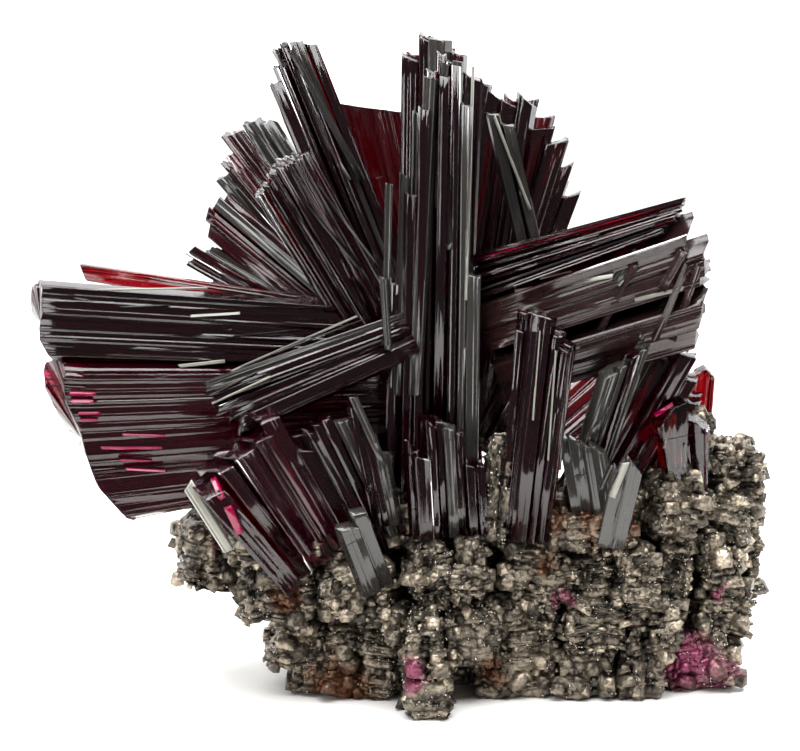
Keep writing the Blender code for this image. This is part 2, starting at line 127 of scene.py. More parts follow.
def rock_material(name, dark, light, metallic, rust_hex, bloom_hex):
    """Layered ore rock: brown-grey, with fine dark bedding lines and a dull metallic
    shine on fresh grains. The attribute tone makes one block paler than another and darkens
    its cracks, notches and plate seams as painted shade; rust and bloom paint iron stain and pink
    crust.
    """
    material, tree, output = blank_material(name)
    place = node(tree, "ShaderNodeTexCoord")
    cloud = node(tree, "ShaderNodeTexNoise", {"Scale": 1 / (0.7 * MM), "Detail": 6.0,
                                              "Roughness": 0.65},
                 {"Vector": place.outputs["Object"]})
    flat = node(tree, "ShaderNodeMapping", {"Scale": (0.35, 0.35, 1.0)},
                {"Vector": place.outputs["Object"]})
    bedding = node(tree, "ShaderNodeTexNoise", {"Scale": 1 / (0.22 * MM), "Detail": 4.0,
                                                "Distortion": 0.8},
                   {"Vector": flat.outputs["Vector"]})
    tone = node(tree, "ShaderNodeValToRGB", links={"Fac": cloud.outputs["Fac"]})
    tone.color_ramp.elements[0].position = 0.34
    tone.color_ramp.elements[0].color = linear(dark)
    tone.color_ramp.elements[1].position = 0.66
    tone.color_ramp.elements[1].color = linear(light)
    seam = node(tree, "ShaderNodeMapRange",
                {"From Min": 0.34, "From Max": 0.44, "To Min": 0.35, "To Max": 1.0},
                {"Value": bedding.outputs["Fac"]})
    lined = node(tree, "ShaderNodeMix", {"data_type": "RGBA", "blend_type": "MULTIPLY", 0: 1.0},
                 {6: tone.outputs["Color"], 7: seam.outputs["Result"]})
    # The tone attribute multiplies the colour: a random tone per block and chip, with painted shade
    # in the blocks' cracks, notches and plate seams.
    depth = node(tree, "ShaderNodeAttribute", {"attribute_name": "tone"})
    coat = node(tree, "ShaderNodeMix", {"data_type": "RGBA", "blend_type": "MULTIPLY", 0: 1.0},
                {6: lined.outputs[2], 7: depth.outputs["Fac"]})
    for attribute, colour in (("rust", rust_hex), ("bloom", bloom_hex)):
        mark = node(tree, "ShaderNodeAttribute", {"attribute_name": attribute})
        broken = node(tree, "ShaderNodeMath", {"operation": "MULTIPLY_ADD", 1: 1.6, 2: -0.8},
                      {0: cloud.outputs["Fac"]})
        amount = node(tree, "ShaderNodeMath", {"operation": "ADD", "use_clamp": True},
                      {0: mark.outputs["Fac"], 1: broken.outputs["Value"]})
        sharp = node(tree, "ShaderNodeMapRange", {"From Min": 0.35, "From Max": 0.65},
                     {"Value": amount.outputs["Value"]})
        gate = node(tree, "ShaderNodeMath", {"operation": "MULTIPLY", "use_clamp": True},
                    {0: sharp.outputs["Result"], 1: mark.outputs["Fac"]})
        coat = node(tree, "ShaderNodeMix", {"data_type": "RGBA", 7: linear(colour)},
                    {0: gate.outputs["Value"], 6: coat.outputs[2]})
    shine = node(tree, "ShaderNodeMapRange", {"To Min": 0.22, "To Max": 0.50},
                 {"Value": cloud.outputs["Fac"]})
    relief = node(tree, "ShaderNodeBump", {"Strength": 0.6, "Distance": 0.05 * MM},
                  {"Height": bedding.outputs["Fac"]})
    tilted = relief.outputs["Normal"]
    for size, lean in ((0.26, 0.45), (0.10, 0.40)):
        cells = node(tree, "ShaderNodeTexVoronoi", {"Scale": 1 / (size * MM)},
                     {"Vector": place.outputs["Object"]})
        centred = node(tree, "ShaderNodeVectorMath", {"operation": "SUBTRACT", 1: (0.5, 0.5, 0.5)},
                       {0: cells.outputs["Color"]})
        tipped = node(tree, "ShaderNodeVectorMath", {"operation": "MULTIPLY_ADD",
                                                     1: (lean, lean, lean)},
                      {0: centred.outputs["Vector"], 2: tilted})
        tilted = node(tree, "ShaderNodeVectorMath", {"operation": "NORMALIZE"},
                      {0: tipped.outputs["Vector"]}).outputs["Vector"]
    shader = node(tree, "ShaderNodeBsdfPrincipled", {"Metallic": metallic},
                  {"Base Color": coat.outputs[2], "Roughness": shine.outputs["Result"],
                   "Normal": tilted})
    tree.links.new(shader.outputs["BSDF"], output.inputs["Surface"])
    return material


def grain_material(name, colour, metallic, roughness):
    """Bare ore grains: a clean metallic facet that flashes where it faces the light."""
    material, tree, output = blank_material(name)
    place = node(tree, "ShaderNodeTexCoord")
    cloud = node(tree, "ShaderNodeTexNoise", {"Scale": 1 / (0.4 * MM), "Detail": 2.0},
                 {"Vector": place.outputs["Object"]})
    tone = node(tree, "ShaderNodeMix", {"data_type": "RGBA", 7: linear(colour),
                                        6: linear("6a6258")}, {0: cloud.outputs["Fac"]})
    shader = node(tree, "ShaderNodeBsdfPrincipled",
                  {"Metallic": metallic, "Roughness": roughness},
                  {"Base Color": tone.outputs[2]})
    tree.links.new(shader.outputs["BSDF"], output.inputs["Surface"])
    return material


ROCK = rock_material("layered_ore_rock", "241e1a", "a89c8a", 0.70, "54301a", "84405a")
ORE_GRAINS = grain_material("bare_ore_grains", "f6f0e4", 1.0, 0.16)
RUST_GRAINS = grain_material("rusty_granules", "a8602c", 0.2, 0.45)


def add_mesh(name, points, quads, triangles, materials, replaced=(), growth=None,
             finish=None):
    """A piece from points in millimetres and its quads and triangles, with a growth UV."""
    corners = np.concatenate([quads.ravel(), triangles.ravel()]).astype(np.int32)
    sizes = np.concatenate([np.full(len(quads), 4), np.full(len(triangles), 3)])
    mesh = bpy.data.meshes.new(name)
    mesh.vertices.add(len(points))
    mesh.vertices.foreach_set("co", ((points + PLACE) * MM).astype(np.float32).ravel())
    mesh.loops.add(len(corners))
    mesh.loops.foreach_set("vertex_index", corners)
    mesh.polygons.add(len(sizes))
    starts = np.concatenate([[0], np.cumsum(sizes)[:-1]]).astype(np.int32)
    mesh.polygons.foreach_set("loop_start", starts)
    for material in materials:
        mesh.materials.append(material)
    if finish is not None:
        mesh.polygons.foreach_set("material_index", finish.astype(np.int32))
    if growth is not None:
        layer = mesh.uv_layers.new(name="growth")
        layer.data.foreach_set("uv", growth[corners].astype(np.float32).ravel())
    mesh.update(calc_edges=True)
    mesh.validate()
    piece = bpy.data.objects.new(name, mesh)
    bpy.context.scene.collection.objects.link(piece)
    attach(piece, "root")
    if replaced:
        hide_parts(*replaced)
    return piece


def loft_faces(count, rings, columns):
    """Quads and end fans of many closed tubes, each rings by columns points plus two poles."""
    block = rings * columns + 2
    ring = np.arange(rings - 1)[:, None] * columns
    column = np.arange(columns)[None, :]
    after = (column + 1) % columns
    quads = np.stack([ring + column, ring + after, ring + columns + after,
                      ring + columns + column], axis=-1).reshape(-1, 4)
    low, high = rings * columns, rings * columns + 1
    last = (rings - 1) * columns
    foot = np.stack([np.full(columns, low), after[0], column[0]], axis=-1)
    head = np.stack([np.full(columns, high), last + column[0], last + after[0]], axis=-1)
    triangles = np.concatenate([foot, head])
    start = (np.arange(count) * block)[:, None, None]
    return ((quads[None] + start).reshape(-1, 4), (triangles[None] + start).reshape(-1, 3))


def unit(vectors):
    """Vectors at length one."""
    return vectors / np.linalg.norm(vectors, axis=-1, keepdims=True)


def strip_edges(draw, count, strips):
    """Uneven edges of strips side by side, from -1 to 1, one row for each lath."""
    widths = np.exp(draw.normal(0.0, 0.55, (count, strips)))
    edges = np.cumsum(widths, axis=1) / widths.sum(axis=1, keepdims=True)
    return np.concatenate([np.full((count, 1), -1.0), edges * 2 - 1], axis=1)


def lath_outline(draw, wide, deep, relief, strips, shoulder):
    """Striated cross-section of laths: around a six-sided bar, every side is cut into
    strips, and each strip lies a little in or out and leans by a few degrees.

    Gives across and inward offsets in millimetres, one row for each lath, and the strip
    that each column belongs to.
    """
    count = len(wide)
    front, side, back = strips
    corners = ((-1, 0), (-1, -1), (1, -1), (1, 0), (1, 1), (-1, 1))
    sides = ((1, 2, front), (2, 3, side), (3, 4, side), (4, 5, back), (5, 0, side), (0, 1, side))
    across, inward, strip, number = [], [], [], 0
    for first, second, parts in sides:
        edges = strip_edges(draw, count, parts) / 2 + 0.5
        start, end = corners[first], corners[second]
        ax, bx = (c[0] * (shoulder if c[1] else 1.0) * wide[:, None] for c in (start, end))
        ay, by = (c[1] * deep[:, None] * np.ones((count, 1)) for c in (start, end))
        normal = unit(np.stack([(by - ay)[:, 0], -(bx - ax)[:, 0]], axis=-1))
        push = np.abs(draw.standard_t(3, (count, parts))) * relief * -1.0
        lean = draw.normal(0.0, 0.09, (count, parts))
        length = np.hypot(bx - ax, by - ay)
        span = np.diff(edges, axis=1) * length
        chamfer = np.minimum(0.30, relief * 0.9 / np.maximum(span, 0.01)) * np.diff(edges, axis=1)
        for index in range(parts):
            for end_of in (0, 1):
                share = edges[:, index + end_of] - (end_of - 0.5) * 2 * chamfer[:, index]
                share = share[:, None]
                tilt = (end_of - 0.5) * 2 * lean[:, index] * span[:, index]
                out = np.maximum(push[:, index] + tilt, -0.35 * deep)[:, None]
                across.append(ax + (bx - ax) * share + normal[:, :1] * out)
                inward.append(ay + (by - ay) * share + normal[:, 1:] * out)
                strip.append(number)
            number += 1
    return np.concatenate(across, 1), np.concatenate(inward, 1), np.array(strip)


def laths(draw, foot, head, across, wide, deep, drops, relief, strips=(8, 1, 6),
          shoulder=None, taper=0.94, bevel=0.25, steps=4, cut=0.0):
    """Many striated laths at once: each cross-section is carried in a straight line from
    foot to head, strips jump in or out at a few places on the way, and the head is cut
    back by drops, a row of depths read from one edge of the lath to the other, by a bevel
    towards its front and back, and by cut more at the front of its second half.

    Returns the points, the growth coordinates (across, along), rings and columns.
    """
    count = len(foot)
    if shoulder is None:
        shoulder = draw.uniform(0.62, 0.90, (count, 1))
    length = np.linalg.norm(head - foot, axis=1)
    line = unit(head - foot)
    across = unit(across - line * (across * line).sum(1, keepdims=True))
    inward = np.cross(line, across)
    x, y, strip = lath_outline(draw, wide, deep, relief, strips, shoulder)
    columns = x.shape[1]
    places = np.sort(draw.uniform(0.06, 0.93, (count, steps)), axis=1)
    tiny = (0.03 / length)[:, None]
    along = np.concatenate([np.zeros((count, 1)),
                            np.stack([places, places + tiny], -1).reshape(count, -1),
                            np.ones((count, 2))], 1)
    rings = along.shape[1]
    kinds = strip.max() + 1
    jumps = draw.normal(0.0, relief * 1.1, (count, steps, kinds))
    jumps *= draw.random((count, steps, kinds)) < 0.30
    state = np.concatenate([np.zeros((count, 1, kinds)), np.cumsum(jumps, axis=1)], axis=1)
    stage = np.repeat(np.arange(steps + 1), 2)
    stage = np.concatenate([stage, np.full(max(0, rings - len(stage)), steps)])[:rings]
    push = state[:, stage][:, :, strip]
    push = np.clip(push, -0.3 * deep[:, None, None], 0.0)
    radius = np.hypot(x, y)[:, None, :]
    girth = np.repeat(taper + (1 - taper) * along[:, :, None], columns, axis=2)
    girth[:, -1] -= 0.025 / np.maximum(wide, 0.10)[:, None]
    px = x[:, None, :] * girth * (1 + push / radius)
    py = y[:, None, :] * girth * (1 + push / radius)
    spot = np.clip((px / wide[:, None, None] + 1) / 2, 0, 1) * (drops.shape[1] - 1)
    lower = np.floor(spot).astype(int).clip(0, max(drops.shape[1] - 2, 0))
    upper = np.minimum(lower + 1, drops.shape[1] - 1)
    row = np.arange(count)[:, None, None]
    drop = drops[row, lower] + (drops[row, upper] - drops[row, lower]) * (spot - lower)
    drop = drop + np.abs(py) * bevel
    slope = np.clip(spot / (drops.shape[1] - 1) * 3 - 0.8, 0, 1)
    drop = drop + cut * slope * np.clip(0.5 - py / deep[:, None, None] / 2, 0, 1)
    rise = along[:, :, None] * length[:, None, None]
    rise = np.minimum(rise, length[:, None, None] - drop - 0.001 * (rings - 1 - np.arange(rings))
                      [None, :, None])
    rise = np.maximum(rise, 0.0)
    rise[:, -2] -= 0.02
    points = (foot[:, None, None] + line[:, None, None] * rise[..., None]
              + across[:, None, None] * px[..., None]
              + inward[:, None, None] * py[..., None])
    poles = np.stack([foot, points[:, -1].mean(axis=1)], axis=1)
    points = np.concatenate([points.reshape(count, -1, 3), poles], axis=1)
    side = np.cumsum(np.hypot(np.diff(x, axis=1, prepend=x[:, :1]),
                              np.diff(y, axis=1, prepend=y[:, :1])), axis=1)
    u = np.repeat(side[:, None, :], rings, axis=1)
    shift = draw.uniform(0, 50, (count, 1, 1))
    growth = np.stack([u + shift, rise + shift * 0.37], axis=-1).reshape(count, -1, 2)
    growth = np.concatenate([growth, growth[:, :1], growth[:, -1:]], axis=1)
    return points, growth, rings, columns


def join_laths(name, sets, materials, replaced):
    """One piece from sets of laths. Each set comes with the number of its material."""
    points, growth, quads, triangles, first, second = [], [], [], [], [], []
    start = 0
    for (block, uv, rings, columns), kinds in sets:
        more_quads, more_triangles = loft_faces(len(block), rings, columns)
        points.append(block.reshape(-1, 3))
        growth.append(uv.reshape(-1, 2))
        quads.append(more_quads + start)
        triangles.append(more_triangles + start)
        kinds = np.broadcast_to(kinds, (len(block),))
        first.append(np.repeat(kinds, (rings - 1) * columns))
        second.append(np.repeat(kinds, 2 * columns))
        start += block.shape[0] * block.shape[1]
    finish = np.concatenate(first + second)
    return add_mesh(name, np.concatenate(points), np.concatenate(quads),
                    np.concatenate(triangles), materials, replaced,
                    np.concatenate(growth), finish)


# Each spray: root and tip of its middle line, width at the root and at the tip, depth,
# how far its laths reach from one edge to the other, roll and slant of the ends in
# degrees, how many laths lie side by side and in depth, how uneven their ends are in
# shares of the length, and the share of laths in the grey sheen finish, a painted reflection.
SPRAYS = (
    ("centre_tall_blade", (1.2, -3.0, 7.6), (1.5, -2.6, 25.5), (3.6, 3.3), 2.1,
     (0.52, 0.75, 0.93, 1.0, 0.995, 0.96, 0.60), 4, 12, 8, 2, 0.02, 0.1, "black"),
    ("rear_tall_blade", (1.3, 0.6, 9.0), (1.7, 0.7, 26.3), (2.6, 3.1), 1.8,
     (0.955, 1.0, 0.985, 0.96, 0.92), -8, 16, 5, 2, 0.02, 0.1, "black"),
    ("left_upper_blade", (-0.2, -0.9, 14.0), (-14.7, -2.0, 14.9), (2.6, 3.15), 2.0,
     (1.1, 0.82, 0.54, 0.28, 0.08, 0.0, 0.0, 0.05), 6, 0.6, 1, 1, 0.0, 0.0, "black"),
    ("left_lower_blade", (0.4, -0.9, 10.7), (-14.0, -2.3, 10.05), (4.9, 7.05), 2.2,
     (3.36, 2.75, 2.15, 1.6, 1.1, 0.68, 0.3, 0.0, 0.0, 0.35), -5, 0.9, 1, 1, 0.0, 0.0, "crimson"),
    ("right_block_blade", (3.6, -1.3, 13.9), (12.5, -2.6, 16.9), (3.8, 4.3), 2.8,
     (0.97, 1.0, 0.975, 0.94, 0.885), 10, 20, 5, 1, 0.0, 0.0, "rose"),
    ("right_upper_bundle", (3.1, -2.4, 16.6), (11.3, -3.4, 19.3), (2.0, 1.1), 1.6,
     (1.0, 0.985, 0.93, 0.88), -12, 22, 7, 2, 0.03, 0.3, "black"),
    ("upper_left_blade", (0.6, 0.9, 12.6), (-4.8, 1.7, 25.9), (1.9, 2.2), 1.7,
     (0.90, 0.985, 1.0, 0.97), 14, 15, 6, 2, 0.01, 0.3, "black"),
    ("mid_left_blade", (0.2, -0.9, 12.2), (-5.0, -1.9, 21.2), (2.0, 2.5), 1.9,
     (0.93, 0.97, 1.0, 0.98), -16, 25, 9, 2, 0.01, 0.0, "black"),
    ("rear_left_slab", (1.0, 3.9, 12.5), (-1.9, 4.4, 24.0), (3.8, 5.6), 1.5,
     (0.0, 0.2, 0.55, 0.95, 1.3, 1.7, 1.95), 7, 0, 1, 1, 0.0, 0.0, "crimson"),
    ("comb_inner_blade", (2.4, 2.9, 11.0), (4.4, 3.4, 24.3), (2.2, 2.4), 1.7,
     (1.0, 0.955, 0.985), -6, 28, 4, 2, 0.03, 0.0, "black"),
    ("comb_outer_blade", (3.6, 3.6, 12.4), (6.6, 4.4, 22.4), (2.0, 3.6), 1.8,
     (1.09, 1.03, 0.92, 0.80), 5, -24, 5, 2, 0.02, 0.0, "black"),
    ("needle_blade", (5.7, 0.9, 15.6), (3.9, 0.4, 23.1), (0.9, 0.8), 0.7,
     (1.0, 0.93), 0, 30, 2, 1, 0.0, 0.4, "black"),
    ("fan_upper_blade", (-0.9, 2.9, 14.0), (-7.3, 4.8, 22.4), (1.7, 3.4), 1.4,
     (0.86, 0.95, 1.0, 0.99, 0.94), -8, 22, 7, 1, 0.02, 0.3, "crimson"),
    ("fan_middle_blade", (-1.3, 2.0, 13.6), (-8.2, 4.1, 19.2), (1.5, 2.0), 1.3,
     (0.93, 1.0, 0.96), 9, -20, 4, 1, 0.03, 0.3, "crimson"),
    ("fan_lower_blade", (-1.8, 1.9, 13.2), (-9.0, 3.4, 17.2), (1.2, 1.5), 1.2,
     (0.97, 1.0), -4, 18, 4, 1, 0.04, 0.2, "black"),
    ("left_thin_blade", (-2.4, 0.9, 14.9), (-13.1, 1.4, 16.5), (0.9, 0.7), 0.9,
     (0.4, 0.2, 0.0), 3, 0, 1, 1, 0.0, 0.0, "bright"),
    ("diagonal_rods", (0.4, -3.4, 14.6), (-7.4, -4.3, 11.6), (1.4, 2.3), 1.2,
     (0.93, 0.98, 1.0), 12, 20, 5, 1, 0.03, 0.2, "black"),
    ("left_front_stub", (-3.6, -3.9, 5.6), (-6.7, -5.6, 10.7), (3.2, 4.6), 2.3,
     (0.93, 1.0, 0.97, 1.03), 26, 14, 5, 1, 0.02, 0.0, "crimson"),
    ("left_inner_rods", (-0.6, -3.6, 6.0), (-3.3, -4.6, 11.8), (2.0, 2.6), 1.6,
     (0.92, 1.0, 0.88), 8, 24, 6, 2, 0.03, 0.1, "black"),
    ("front_small_laths", (-0.5, -4.4, 7.2), (-1.5, -4.9, 12.2), (1.1, 1.2), 0.8,
     (1.0, 0.86, 0.66), -6, 34, 4, 1, 0.02, 0.8, "black"),
    ("front_low_tier", (1.9, -4.4, 6.8), (1.6, -4.9, 11.9), (3.0, 2.9), 1.2,
     (0.82, 1.0, 0.93, 0.70), 4, 28, 8, 1, 0.06, 0.1, "black"),
    ("right_front_rods", (4.8, -4.1, 6.6), (5.7, -5.0, 15.9), (1.9, 2.3), 1.5,
     (0.97, 1.0, 0.93, 0.86), -10, 16, 5, 2, 0.02, 0.2, "black"),
    ("right_lean_blade", (6.9, -2.9, 7.2), (9.0, -4.2, 14.6), (1.3, 1.4), 1.0,
     (0.86, 1.0), 12, -30, 4, 1, 0.03, 0.8, "black"),
    ("right_base_laths", (7.7, -3.9, 6.6), (6.9, -4.3, 11.0), (1.5, 1.6), 0.8,
     (1.0, 0.90), -14, 30, 4, 1, 0.04, 0.6, "black"),
    # These laths look white by painted grey reflection and a painted highlight lath.
    ("right_white_laths", (8.1, -4.7, 6.4), (8.8, -5.3, 10.2), (1.1, 1.1), 0.6,
     (0.86, 1.0), 8, 32, 2, 1, 0.0, 1.0, "black"),
    ("right_low_blade", (7.9, -0.9, 7.2), (11.5, -1.4, 14.0), (3.0, 3.1), 2.0,
     (0.93, 1.0, 0.92, 0.80), 6, -18, 5, 2, 0.02, 0.0, "crimson"),
    ("right_gem", (10.9, -3.0, 8.0), (10.4, -3.9, 11.9), (0.7, 1.5), 1.0,
     (0.9, 0.1, 0.0), 18, 0, 1, 1, 0.0, 0.0, "bright"),
    ("right_gem_small", (11.9, -2.2, 8.0), (11.6, -3.0, 11.3), (0.7, 1.1), 0.8,
     (0.0, 0.2, 0.7), -12, 0, 1, 1, 0.0, 1.0, "black"),
    ("right_pink_tip", (12.0, 0.9, 7.8), (12.4, 0.4, 12.7), (1.2, 0.9), 1.0,
     (0.3, 0.0, 0.4), 0, 0, 1, 1, 0.0, 0.0, "bright"),
    ("lower_left_chip", (-0.8, -4.8, 4.8), (-1.9, -6.2, 8.1), (1.4, 1.3), 0.7,
     (0.90, 1.0), 20, 24, 2, 1, 0.0, 0.5, "black"),
    ("back_centre_blade", (1.2, 3.6, 8.4), (0.9, 9.0, 21.2), (3.0, 3.2), 1.8,
     (0.86, 0.97, 1.0, 0.94), 5, 18, 6, 2, 0.03, 0.1, "black"),
    ("back_left_blade", (0.2, 3.6, 9.4), (-6.2, 9.8, 16.8), (2.2, 3.0), 1.8,
     (0.90, 1.0, 0.95), -12, 20, 5, 2, 0.03, 0.1, "black"),
    ("back_right_blade", (3.2, 3.8, 9.2), (8.0, 9.4, 17.2), (2.4, 3.0), 1.8,
     (0.93, 1.0, 0.90), 10, 22, 5, 2, 0.03, 0.1, "black"),
    ("back_low_left_blade", (-0.6, 3.8, 7.8), (-9.0, 8.8, 11.4), (2.0, 2.8), 1.8,
     (0.86, 1.0, 0.97), 4, 18, 5, 2, 0.02, 0.0, "crimson"),
    ("back_low_right_blade", (5.2, 4.0, 8.2), (11.6, 8.4, 12.8), (1.8, 2.4), 1.6,
     (1.0, 0.94, 0.84), -6, 20, 4, 2, 0.02, 0.0, "crimson"),
    ("back_stub", (2.4, 5.4, 6.4), (2.2, 10.6, 12.8), (2.4, 2.6), 1.5,
     (0.88, 1.0, 0.90), 8, 24, 5, 1, 0.02, 0.1, "black"),
)

# Single laths that stand out on a spray in the view of the photograph: foot, head, width
# and finish. Windows are painted glow: a hot magenta colour where light would come back magenta
# from inside a blade. The sheen finish is painted grey reflection and the pale finish painted
# highlight.
DETAILS = {
    "centre_tall_blade": (
        ((0.58, -3.92, 12.19), (1.19, -3.31, 24.44), 0.58, "painted_sheen"),
        ((1.39, -3.24, 19.43), (1.73, -2.79, 25.05), 0.43, "painted_sheen"),
        ((1.86, -3.3, 17.77), (2.23, -2.75, 25.05), 0.47, "painted_sheen"),
        ((2.55, -3.75, 15.87), (2.81, -2.8, 24.82), 0.12, "pale"),
        ((-0.08, -3.6, 12.14), (0.19, -3.2, 20.77), 0.43, "painted_sheen"),
        ((-0.58, -4, 14.15), (-0.42, -3.4, 20.36), 0.31, "painted_sheen"),
        ((-0.46, -4.2, 13.98), (-0.65, -3.9, 16.85), 0.31, "painted_sheen"),
    ),
    "upper_left_blade": (
        ((-2.02, 0.68, 20.26), (-5.14, 1.73, 25.45), 0.16, "pale"),
        ((-1.53, 0.74, 20.26), (-4.41, 0.92, 25.61), 0.33, "painted_sheen"),
    ),
    "left_lower_blade": (
        ((-12.35, -2.49, 13.25), (-13.37, -2.54, 13.33), 0.2, "painted_glow"),
        ((-12.21, -2.94, 13.03), (-13.28, -2.66, 13.03), 0.2, "painted_glow"),
        ((-12.36, -3.34, 12.81), (-13.21, -2.61, 12.71), 0.16, "painted_glow"),
        ((-11.86, -3.35, 12.14), (-12.93, -3.5, 12.2), 0.19, "painted_glow"),
        ((-11.98, -3.36, 11.87), (-12.86, -3.49, 11.89), 0.16, "painted_glow"),
        ((-11.73, -3.27, 11.38), (-12.61, -3.4, 11.4), 0.16, "painted_glow"),
        ((-11.82, -3.24, 11.1), (-12.51, -3.37, 11.12), 0.12, "painted_glow"),
        ((-9.25, -2.82, 10.39), (-10.91, -3.11, 10.48), 0.12, "painted_glow"),
        ((-9.37, -2.87, 9.92), (-11.77, -3.17, 9.97), 0.12, "painted_glow"),
        ((-9.28, -2.77, 8.98), (-10.83, -2.97, 9.1), 0.12, "painted_glow"),
        ((-9.78, -2.84, 9.4), (-11.09, -3.03, 9.47), 0.08, "painted_glow"),
        ((-6.89, -2.45, 13.32), (-8.76, -2.6, 13.14), 0.16, "pale"),
        ((-8.17, -2.72, 12.84), (-9.58, -3.06, 12.73), 0.08, "painted_sheen"),
    ),
    "left_upper_blade": (
        ((-7.57, -2.3, 16.19), (-11.86, -2.5, 16.13), 0.08, "pale"),
        ((-6.3, -2.2, 15.19), (-8.24, -2.4, 15.1), 0.12, "pale"),
        ((-9.03, -2.38, 15.53), (-10.96, -2.63, 15.48), 0.08, "painted_sheen"),
        ((-3.95, -2.04, 14.5), (-7.28, -2.29, 14.21), 0.08, "painted_sheen"),
    ),
    "diagonal_rods": (
        ((-1.66, -3.8, 15.25), (-6.48, -4.2, 13.17), 0.08, "pale"),
        ((-2.13, -3.8, 15.06), (-6.16, -4.3, 13.34), 0.08, "pale"),
        ((-1.35, -3.7, 15.13), (-5, -4.3, 13.8), 0.08, "painted_sheen"),
        ((-4.99, -4.7, 13), (-7.21, -4.9, 11.99), 0.08, "pale"),
        ((-5.49, -4.6, 13.18), (-7.33, -4.8, 12.28), 0.08, "painted_sheen"),
    ),
    "left_front_stub": (
        ((-6.57, -5.5, 6.4), (-8.11, -6.3, 9.21), 0.49, "pale"),
        ((-6.68, -7.19, 8.77), (-7.05, -6.26, 9.36), 0.3, "painted_glow"),
        ((-6.05, -6.76, 7.34), (-6.5, -7.07, 8.44), 0.34, "painted_glow"),
    ),
    "right_block_blade": (
        ((4.48, -3.02, 16.11), (8.29, -3.76, 16.84), 0.19, "pale"),
        ((9.09, -3.63, 15.86), (10.98, -3.9, 16.35), 0.16, "pale"),
        ((5.42, -3.37, 16.65), (6.67, -3.26, 16.95), 0.08, "pale"),
        ((8.34, -3.71, 16.49), (9.24, -3.76, 17.84), 0.47, "painted_sheen"),
        ((9.33, -3.39, 14.27), (10.5, -2.53, 15.74), 0.39, "painted_sheen"),
        ((9.91, -3.45, 14.28), (11.05, -4.1, 17.37), 0.31, "rose"),
        ((10.59, -3.28, 14.26), (11.51, -4.05, 17.37), 0.35, "rose"),
        ((10.1, -3.79, 16.26), (10.87, -4.23, 17.85), 0.46, "rose"),
        ((7.81, -2.93, 14.61), (9.07, -3.99, 17.36), 0.31, "rose"),
    ),
    "right_lean_blade": (
        ((7.45, -4.12, 10.53), (8.97, -3.92, 13.95), 0.35, "painted_sheen"),
    ),
    "right_base_laths": (
        ((7.74, -4.6, 8.57), (8.18, -4.7, 9.61), 0.27, "painted_sheen"),
    ),
    "right_white_laths": (
        ((8.13, -5.38, 8.45), (8.68, -5.44, 9.9), 0.3, "pale"),
    ),
    "right_front_rods": (
        ((5.08, -5.29, 11.43), (5.3, -5.63, 14.93), 0.08, "pale"),
        ((5.68, -5.15, 9.85), (5.91, -5.58, 14.16), 0.08, "pale"),
        ((6.13, -5.3, 9.49), (6.37, -5.6, 13.78), 0.08, "painted_sheen"),
    ),
    "right_gem": (
        ((9.94, -3.59, 11.35), (10.65, -3.73, 11.8), 0.23, "painted_glow"),
        ((10.26, -3.98, 10.11), (10.56, -3.9, 11.67), 0.08, "pale"),
    ),
    "right_upper_bundle": (
        ((5.42, -3.3, 17.77), (7.71, -3.53, 18.4), 0.08, "painted_sheen"),
        ((7.39, -3.71, 17.96), (9.77, -3.99, 18.82), 0.08, "painted_sheen"),
    ),
    "needle_blade": (
        ((5.23, 0.32, 19.08), (3.75, 0.16, 22.84), 0.12, "pale"),
    ),
    "mid_left_blade": (
        ((-1.57, -2.22, 16.89), (-4.86, -2.45, 21.01), 0.12, "painted_sheen"),
        ((-0.98, -2.2, 17.2), (-4.19, -2.5, 21.51), 0.12, "painted_sheen"),
    ),
    "front_small_laths": (
        ((-0.61, -5.1, 9.65), (-1.83, -5.3, 12.39), 0.34, "painted_sheen"),
    ),
}
# Finish slots of single laths: painted grey reflection, pale painted highlight, painted magenta
# glow and rose-brown.
DETAIL_FINISHES = {"painted_sheen": 1, "pale": 2, "painted_glow": 3, "rose": 4}

FINISHES = {
    "black": (BLACK_CRYSTAL, "erythrite_near_black"),
    "crimson": (CRIMSON_CRYSTAL, "erythrite_dark_crimson"),
    "bright": (BRIGHT_CRYSTAL, "erythrite_bright_crimson"),
    "rose": (ROSE_CRYSTAL, "erythrite_rose_brown"),
}


def turned(vector, axis, degrees):
    """A vector turned about a unit axis."""
    angle = math.radians(degrees)
    return (vector * math.cos(angle) + np.cross(axis, vector) * math.sin(angle)
            + axis * (axis @ vector) * (1 - math.cos(angle)))


def single_blade(row, draw):
    """One broad crystal: many fine strips across its face and a clean outline at its end."""
    name, root, tip, spread, depth, drops, roll, cut = row[:8]
    root, tip = np.array(root), np.array(tip)
    line = unit(tip - root)
    across = turned(unit(np.cross(FRONT, line)), line, roll)
    strips = max(6, int(max(spread) / 0.13))
    made = laths(draw, root[None], tip[None], across[None], np.array([spread[1] / 2]),
                 np.array([depth / 2]), np.array([drops]), 0.020, (strips, 4, strips),
                 0.86, spread[0] / spread[1], 0.0, 9, cut)
    return [(made, 0)]


